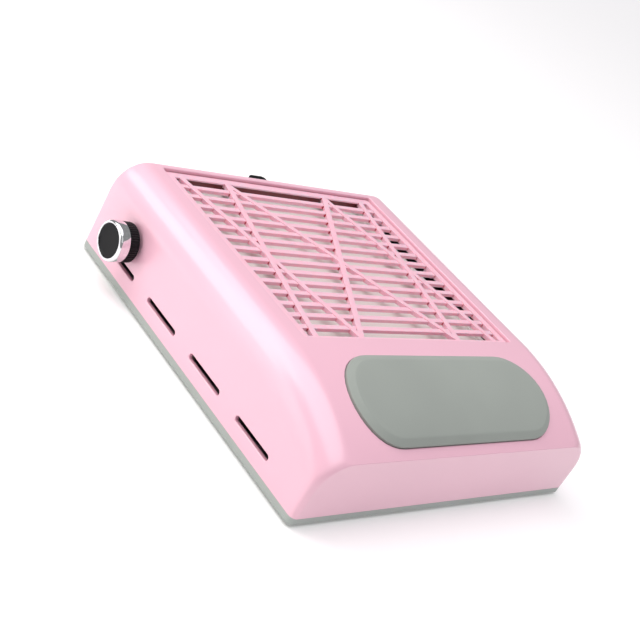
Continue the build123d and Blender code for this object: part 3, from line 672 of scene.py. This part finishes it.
def pad_solid(name, levels):
    """Stadium on the slope, from (grow, height) levels with the lowest first, filled at both ends."""
    edges = [pad_edge(grow) for grow, _ in levels]
    rings = [pad_rim(edge, height) for edge, (_, height) in zip(edges, levels)]
    count = len(rings[0])
    vertices = [point for ring in rings for point in ring]
    faces = []
    for i in range(1, len(rings)):
        low = (i - 1) * count
        for j in range(count):
            k = (j + 1) % count
            faces.append((low + j, low + k, low + count + k, low + count + j))
    for level, downwards in ((0, True), (-1, False)):
        points, grid = pad_cap(edges[level], levels[level][1], len(vertices), downwards)
        vertices += points
        faces += grid
    return new_object(name, vertices, faces)


def cut_grille_window(shell):
    """Joins on the well that carries the grille, then cuts its window and the opening inside its ledge."""
    rim_x = GRILLE_HIGH.x + GRILLE_GAP
    rim_front = GRILLE_LOW.y - GRILLE_GAP
    rim_back = GRILLE_HIGH.y + GRILLE_GAP
    ledge_bottom = GRILLE_SEAT - LEDGE_THICKNESS
    well = box_object("well", (-rim_x - WALL, rim_front - WALL, ledge_bottom),
                      (rim_x + WALL, WELL_BACK, TOP - WALL + WELL_OVERLAP))
    boolean(shell, well, "UNION")
    rings = []
    for z, grow in ((GRILLE_SEAT, 0.0), (TOP - CUT_BEVEL, 0.0), (TOP, CUT_BEVEL),
                    (TOP + 2 * OVERCUT, CUT_BEVEL)):
        outline = rounded_rectangle(-rim_x - grow, rim_x + grow, rim_front - grow, rim_back + grow,
                                    WINDOW_CORNER + grow)
        rings.append([(x, y, z) for x, y in outline])
    boolean(shell, lofted("window", rings))
    opening = box_object("ledge", (-rim_x + LEDGE, rim_front + LEDGE, ledge_bottom - OVERCUT),
                         (rim_x - LEDGE, rim_back - LEDGE, TOP))
    boolean(shell, opening)


def cut_side_slot(shell, y, side):
    """Cuts a stadium-shaped slot through a side wall, flared where it meets the outer face."""
    radius = SLOT_HEIGHT / 2
    reach = SLOT_LENGTH / 2 - radius
    rings = []
    for x, grow in ((HALF_WIDTH + 2 * OVERCUT, CUT_BEVEL), (HALF_WIDTH, CUT_BEVEL),
                    (HALF_WIDTH - CUT_BEVEL, 0.0), (HALF_WIDTH - WALL - OVERCUT, 0.0)):
        outline = arc(y + reach, SLOT_Z, radius + grow, -90, 90, 10)
        outline += arc(y - reach, SLOT_Z, radius + grow, 90, 270, 10)
        rings.append([(side * x, py, pz) for py, pz in outline])
    boolean(shell, lofted("slot", rings))


def cut_rear_slot(shell):
    """Cuts the filter cartridge's slot through the rear wall, flared where it meets the outer face."""
    outlines = {}
    for grow in (0.0, CUT_BEVEL):
        outlines[grow] = rounded_rectangle(-DRAWER_HALF_WIDTH - grow, DRAWER_HALF_WIDTH + grow,
                                           DRAWER_LOW - grow, DRAWER_HIGH + grow, DRAWER_CORNER + grow, 3)
    rings = []
    for y, grow in ((HALF_WIDTH - WALL - OVERCUT, 0.0), (HALF_WIDTH - CUT_BEVEL, 0.0),
                    (HALF_WIDTH, CUT_BEVEL), (HALF_WIDTH + OVERCUT, CUT_BEVEL)):
        rings.append([(x, y, z) for x, z in outlines[grow]])
    boolean(shell, lofted("drawer", rings))


def cut_round_holes(shell):
    """Cuts the knob's hole through the left wall and the power inlet's through the rear wall."""
    hole = circle(KNOB_HOLE_RADIUS, 32)
    rings = [[(x, KNOB_CENTRE.y + a, KNOB_CENTRE.z + b) for a, b in hole]
             for x in (-HALF_WIDTH - OVERCUT, -HALF_WIDTH + WALL + OVERCUT)]
    boolean(shell, lofted("knob_hole", rings))
    hole = circle(JACK_HOLE_RADIUS, 40)
    rings = [[(JACK_CENTRE.x + a, y, JACK_CENTRE.z + b) for a, b in hole]
             for y in (HALF_WIDTH + OVERCUT, HALF_WIDTH - WALL - OVERCUT)]
    boolean(shell, lofted("jack_hole", rings))


def build_shell():
    """Hollow pink shell with its window, slots, holes and pad recess."""
    shell = shell_form("shell", 0.0, RIDGE_RADIUS, REAR_RADIUS, SEAM)
    boolean(shell, shell_form("hollow", WALL, HOLLOW_RADIUS, HOLLOW_RADIUS, SEAM - 2 * OVERCUT))
    cut_grille_window(shell)
    for side in (-1, 1):
        for y in SLOT_CENTRES:
            cut_side_slot(shell, y, side)
    cut_rear_slot(shell)
    cut_round_holes(shell)
    boolean(shell, pad_solid("recess", RECESS_LEVELS))
    smooth(shell, 28)
    even_shading(shell, 60)
    dress(shell, "housing", "pink_gloss", "upper_shell")


def build_pad():
    """Silicone pad: straight wall, soft shoulder, sloping bevel and a top that follows the slope."""
    pad = pad_solid("silicone_palm_pad", PAD_LEVELS)
    smooth(pad, 50)
    even_shading(pad)
    dress(pad, "housing", "silicone_pad", "palm_pad")


# ---------------------------------------------------------------- knob and filter

def build_knob():
    """Chrome ring with a rounded nose, a dished disc set into it, and a fluted skirt behind it."""
    nose = 1.9 * MM
    nose_drop = 1.5 * MM
    rear_chamfer = 0.3 * MM
    disc_radius = 10.3 * MM
    ring = [(KNOB_STEP, KNOB_RADIUS - rear_chamfer), (KNOB_STEP - rear_chamfer, KNOB_RADIUS)]
    for angle in [math.radians(15 * i) for i in range(7)]:
        ring.append((KNOB_FACE + nose - nose * math.sin(angle),
                     KNOB_RADIUS - nose_drop * (1 - math.cos(angle))))
    ring += [(KNOB_FACE + 0.1 * MM, disc_radius + 0.12 * MM), (KNOB_FACE + 0.35 * MM, disc_radius),
             (KNOB_STEP, disc_radius)]
    dress(turned("knob_chrome_ring", KNOB_CENTRE, ring), "speed_knob", "knob_chrome", "knob_ring")

    disc_face = KNOB_FACE + 0.75 * MM
    dish = 0.15 * MM
    disc_side = disc_radius - 0.05 * MM
    disc = [(disc_face + dish * (1 - share ** 2), disc_radius * share)
            for share in (0.0, 0.25, 0.5, 0.75, 0.92)]
    disc += [(disc_face + 0.08 * MM, disc_radius - 0.25 * MM), (disc_face + 0.3 * MM, disc_side),
             (KNOB_STEP, disc_side), (KNOB_STEP, 0.0)]
    dress(turned("knob_face_disc", KNOB_CENTRE, disc), "speed_knob", "knob_black", "knob_cap")

    skirt_radius = KNOB_RADIUS - 0.25 * MM
    bore = 3.0 * MM
    hollow_radius = 9.5 * MM
    hollow_end = KNOB_REAR - 3.7 * MM
    skirt = [(KNOB_REAR, hollow_radius), (KNOB_REAR, skirt_radius - 0.6 * MM),
             (KNOB_REAR - 0.25 * MM, skirt_radius - 0.1 * MM)]
    skirt += [(KNOB_REAR - (0.6 + 0.9 * i) * MM, skirt_radius) for i in range(6)]
    skirt += [(KNOB_STEP + 0.35 * MM, skirt_radius), (KNOB_STEP, skirt_radius - 0.3 * MM),
              (KNOB_STEP, bore), (hollow_end, bore), (hollow_end, hollow_radius)]
    flutes = (3, 9, 48, 0.35 * MM)
    grip = turned("knob_grip", KNOB_CENTRE, skirt, 288, flutes)
    dress(grip, "speed_knob", "knob_black", "knob_skirt")


def build_media():
    """Pleated paper, its folds running across the width."""
    low, high = body_box("filter_media")
    folds = int((high.y - low.y) / PLEAT_PITCH)
    pitch = (high.y - low.y) / folds
    peak = high.z
    deep = peak - PLEAT_DEPTH
    outline = []
    for i in range(folds):
        y = low.y + i * pitch
        for share, z in ((0.0, deep), (0.12, deep + PLEAT_ROUND), (0.38, peak - PLEAT_ROUND),
                         (0.5, peak), (0.62, peak - PLEAT_ROUND), (0.88, deep + PLEAT_ROUND)):
            outline.append((y + share * pitch, z))
    outline.append((high.y, deep))
    ring = outline + [(y, z - PAPER_THICKNESS) for y, z in outline[::-1]]
    rings = []
    for k in range(PAPER_COLUMNS + 1):
        x = low.x + (high.x - low.x) * k / PAPER_COLUMNS
        rings.append([(x, y, z) for y, z in ring])
    media = lofted("pleated_media", rings)
    smooth(media, 60)
    dress(media, "filter_drawer", "filter_paper", "filter_media")


# ---------------------------------------------------------------- carried-over CAD nodes

# Width in mm of the soft edges that each node gets; the other nodes stay as the CAD has them.
BEVELS = {
    "grille_panel": 0.4, "base_tray": 0.3, "inner_tray": 0.3, "filter_frame": 0.3, "filter_pull": 0.4,
    "filter_seal": 0.2, "motor_bracket": 0.2, "heat_sink": 0.15, "board_connectors": 0.2,
    "power_transistor": 0.1, "dc_jack_nut": 0.2, "potentiometer_nut": 0.2, "impeller_nut": 0.2,
    "impeller": 0.15, "fan_guard": 0.3, "lead_clips": 0.3, "base_screws": 0.15, "tray_screws": 0.15,
    "guard_screws": 0.15, "motor_screws": 0.15, "board_screws": 0.15, "control_board": 0.1,
}
MERGE_DISTANCE = 1e-6
FLAT_ANGLE = 0.5
SHARP_ANGLE = 40


def finish_cad_nodes():
    """Gives every CAD node that stays its slot's material, and softens the edges of the moulded ones."""
    slots = {row["node"]: row["material_slot"] for row in frame["record"]["subparts"]}
    for name, node in frame["nodes"].items():
        if node.hide_render:
            continue
        node.data.materials.clear()
        node.data.materials.append(MATERIALS[slots[name]])
        if name in BEVELS:
            merge = node.modifiers.new("merge", "WELD")
            merge.merge_threshold = MERGE_DISTANCE
            flat = node.modifiers.new("flat faces", "DECIMATE")
            flat.decimate_type = "DISSOLVE"
            flat.angle_limit = math.radians(FLAT_ANGLE)
            bevel = node.modifiers.new("edges", "BEVEL")
            bevel.limit_method = "ANGLE"
            bevel.angle_limit = math.radians(SHARP_ANGLE)
            bevel.width = BEVELS[name] * MM
            bevel.segments = 2
            bevel.harden_normals = True


# ---------------------------------------------------------------- stage

FLOOR_HALF = 60.0
FLOOR_COLOUR = (0.93, 0.92, 0.92, 1)
FLOOR_ROUGHNESS = 0.9
FLOOR_GLOW = 0.12
WORLD_STRENGTH = 0.3
WARM = (1.0, 0.98, 0.93)
COOL = (0.98, 0.965, 1.0)
WHITE = (1.0, 1.0, 1.0)
OPAQUE_WHITE = (1, 1, 1, 1)

# Soft boxes: name, place, width and height, power, colour. They all aim at one point inside the body.
SOFT_BOXES = (
    ("key_box", (-0.68, 0.72, 0.98), (0.85, 0.9), 8, WARM),
    ("left_box", (-1.15, 0.35, 0.40), (0.9, 0.7), 3.2, WARM),
    ("rear_box", (0.02, 0.85, 1.25), (0.45, 0.45), 1.5, COOL),
    ("front_box", (-0.2, -1.2, 1.2), (1.2, 0.9), 1.6, WHITE),
)
LIGHT_AIM = (0, 0, 0.03)
OVERHEAD_POWER = 1.72
OVERHEAD_ANGLE = 60


def build_stage():
    """Pale floor that glows faintly, so that it stays white as in a product photo, under an even sky."""
    material, _, _, shader = start_material("floor")
    shader.inputs["Base Color"].default_value = FLOOR_COLOUR
    shader.inputs["Roughness"].default_value = FLOOR_ROUGHNESS
    shader.inputs["Emission Color"].default_value = OPAQUE_WHITE
    shader.inputs["Emission Strength"].default_value = FLOOR_GLOW
    floor = new_object("floor", [(-FLOOR_HALF, -FLOOR_HALF, 0), (FLOOR_HALF, -FLOOR_HALF, 0),
                                 (FLOOR_HALF, FLOOR_HALF, 0), (-FLOOR_HALF, FLOOR_HALF, 0)], [(0, 1, 2, 3)])
    floor.data.materials.append(material)
    world = bpy.data.worlds.new("studio")
    world.use_nodes = True
    background = world.node_tree.nodes["Background"]
    background.inputs["Color"].default_value = OPAQUE_WHITE
    background.inputs["Strength"].default_value = WORLD_STRENGTH
    bpy.context.scene.world = world


def build_lights():
    """Soft boxes round the body and a wide soft light from straight above."""
    for name, place, size, power, colour in SOFT_BOXES:
        light = bpy.data.lights.new(name, "AREA")
        light.color = colour
        light.shape = "RECTANGLE"
        light.size = size[0]
        light.size_y = size[1]
        light.energy = power
        obj = bpy.data.objects.new(name, light)
        obj.location = place
        obj.rotation_mode = "QUATERNION"
        obj.rotation_quaternion = (Vector(LIGHT_AIM) - Vector(place)).to_track_quat("-Z", "Y")
        bpy.context.scene.collection.objects.link(obj)
    overhead = bpy.data.lights.new("overhead", "SUN")
    overhead.energy = OVERHEAD_POWER
    overhead.angle = math.radians(OVERHEAD_ANGLE)
    overhead.color = COOL
    bpy.context.scene.collection.objects.link(bpy.data.objects.new("overhead", overhead))


def build_camera():
    """Camera at the photograph's angle, turned about its line of sight by the roll."""
    azimuth = math.radians(CAMERA_AZIMUTH)
    elevation = math.radians(CAMERA_ELEVATION)
    forward = Vector((math.sin(azimuth) * math.cos(elevation), math.cos(azimuth) * math.cos(elevation),
                      -math.sin(elevation)))
    camera = bpy.data.cameras.new("camera")
    camera.lens = CAMERA_LENS
    camera.sensor_width = CAMERA_SENSOR
    camera.clip_start = CAMERA_CLIP_NEAR
    camera.clip_end = CAMERA_CLIP_FAR
    obj = bpy.data.objects.new("camera", camera)
    obj.location = BODY + CAMERA_AIM - forward * CAMERA_DISTANCE
    obj.rotation_mode = "QUATERNION"
    upright = forward.to_track_quat("-Z", "Y")
    roll = Matrix.Rotation(math.radians(CAMERA_ROLL), 3, forward).to_quaternion()
    obj.rotation_quaternion = roll @ upright
    bpy.context.scene.collection.objects.link(obj)
    bpy.context.scene.camera = obj


build_camera()
build_shell()
build_pad()
build_knob()
build_media()
finish_cad_nodes()
build_stage()
build_lights()
bpy.context.scene.view_settings.view_transform = "Standard"
